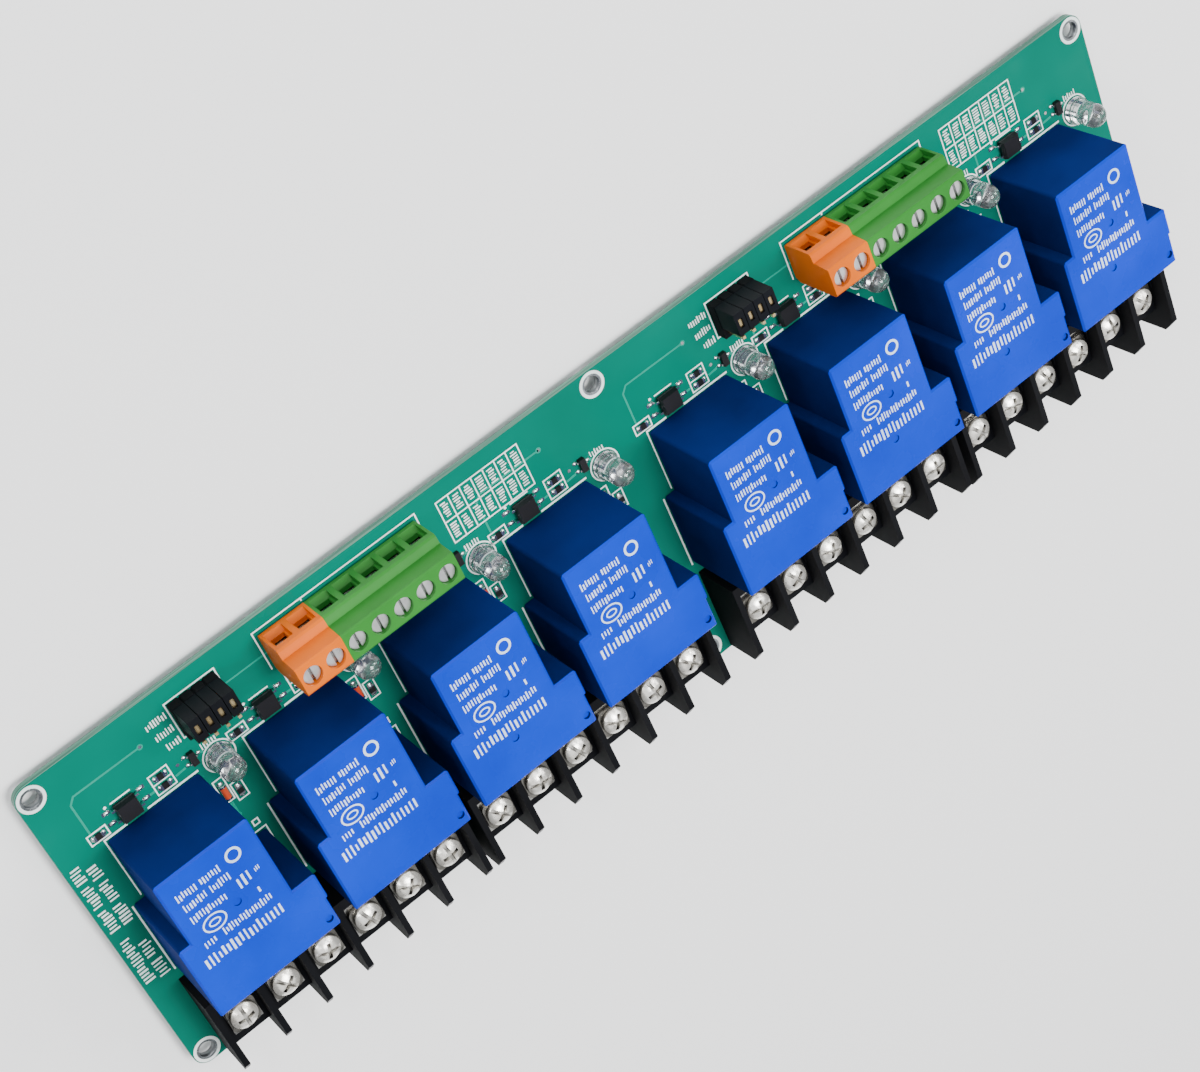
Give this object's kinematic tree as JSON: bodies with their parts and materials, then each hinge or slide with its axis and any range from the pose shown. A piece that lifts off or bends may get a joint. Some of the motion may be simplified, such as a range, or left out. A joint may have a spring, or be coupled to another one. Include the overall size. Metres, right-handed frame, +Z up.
{
  "type": "relay module board",
  "caption": "Long green circuit board with two groups of blue relays, black barrier screw terminals along one edge and small input screw terminals, jumper headers and lamps along the other.",
  "frame": {"origin": "centre of the four corner mounting holes, on the board's underside", "axes": "+X along the board's length, +Y towards the edge with the input terminals and jumper headers, +Z up from the board towards the components"},
  "size_m": [0.26, 0.075, 0.0234],
  "materials": {
    "board_green": "smooth",
    "plated_ring": "smooth",
    "relay_blue": "smooth",
    "relay_base_blue": "smooth",
    "strip_black": "smooth",
    "nickel": "smooth",
    "zinc_plated": "smooth",
    "tinned": "smooth",
    "terminal_orange": "smooth",
    "terminal_green": "smooth",
    "gold_plated": "smooth",
    "cap_black": "smooth",
    "chip_black": "smooth",
    "clear_lens": "smooth",
    "diode_red": "smooth"
  },
  "bodies": {
    "root": {"circuit_board": "board_green", "hole_rings": "plated_ring", "relay_cover_1": "relay_blue", "relay_cover_2": "relay_blue", "relay_cover_3": "relay_blue", "relay_cover_4": "relay_blue", "relay_cover_5": "relay_blue", "relay_cover_6": "relay_blue", "relay_cover_7": "relay_blue", "relay_cover_8": "relay_blue", "relay_base_1": "relay_base_blue", "relay_base_2": "relay_base_blue", "relay_base_3": "relay_base_blue", "relay_base_4": "relay_base_blue", "relay_base_5": "relay_base_blue", "relay_base_6": "relay_base_blue", "relay_base_7": "relay_base_blue", "relay_base_8": "relay_base_blue", "relay_pins": "tinned", "barrier_strip_1": "strip_black", "barrier_strip_2": "strip_black", "barrier_strip_3": "strip_black", "barrier_strip_4": "strip_black", "barrier_contacts_1": "nickel", "barrier_contacts_2": "nickel", "barrier_contacts_3": "nickel", "barrier_contacts_4": "nickel", "barrier_washers": "zinc_plated", "barrier_screws": "zinc_plated", "power_terminal_1": "terminal_orange", "power_terminal_2": "terminal_orange", "signal_terminal_1": "terminal_green", "signal_terminal_2": "terminal_green", "clamp_cages": "nickel", "terminal_screws": "zinc_plated", "terminal_pins": "tinned", "jumper_header_1": "strip_black", "jumper_header_2": "strip_black", "header_pins": "gold_plated", "jumper_clips": "gold_plated", "jumper_caps": "cap_black", "optocouplers": "chip_black", "optocoupler_leads": "tinned", "led_lenses": "clear_lens", "led_leads": "tinned", "transistors": "chip_black", "transistor_leads": "tinned", "chip_resistors": "chip_black", "chip_ends": "tinned", "glass_diodes": "diode_red", "diode_ends": "tinned"}
  },
  "joints": []
}
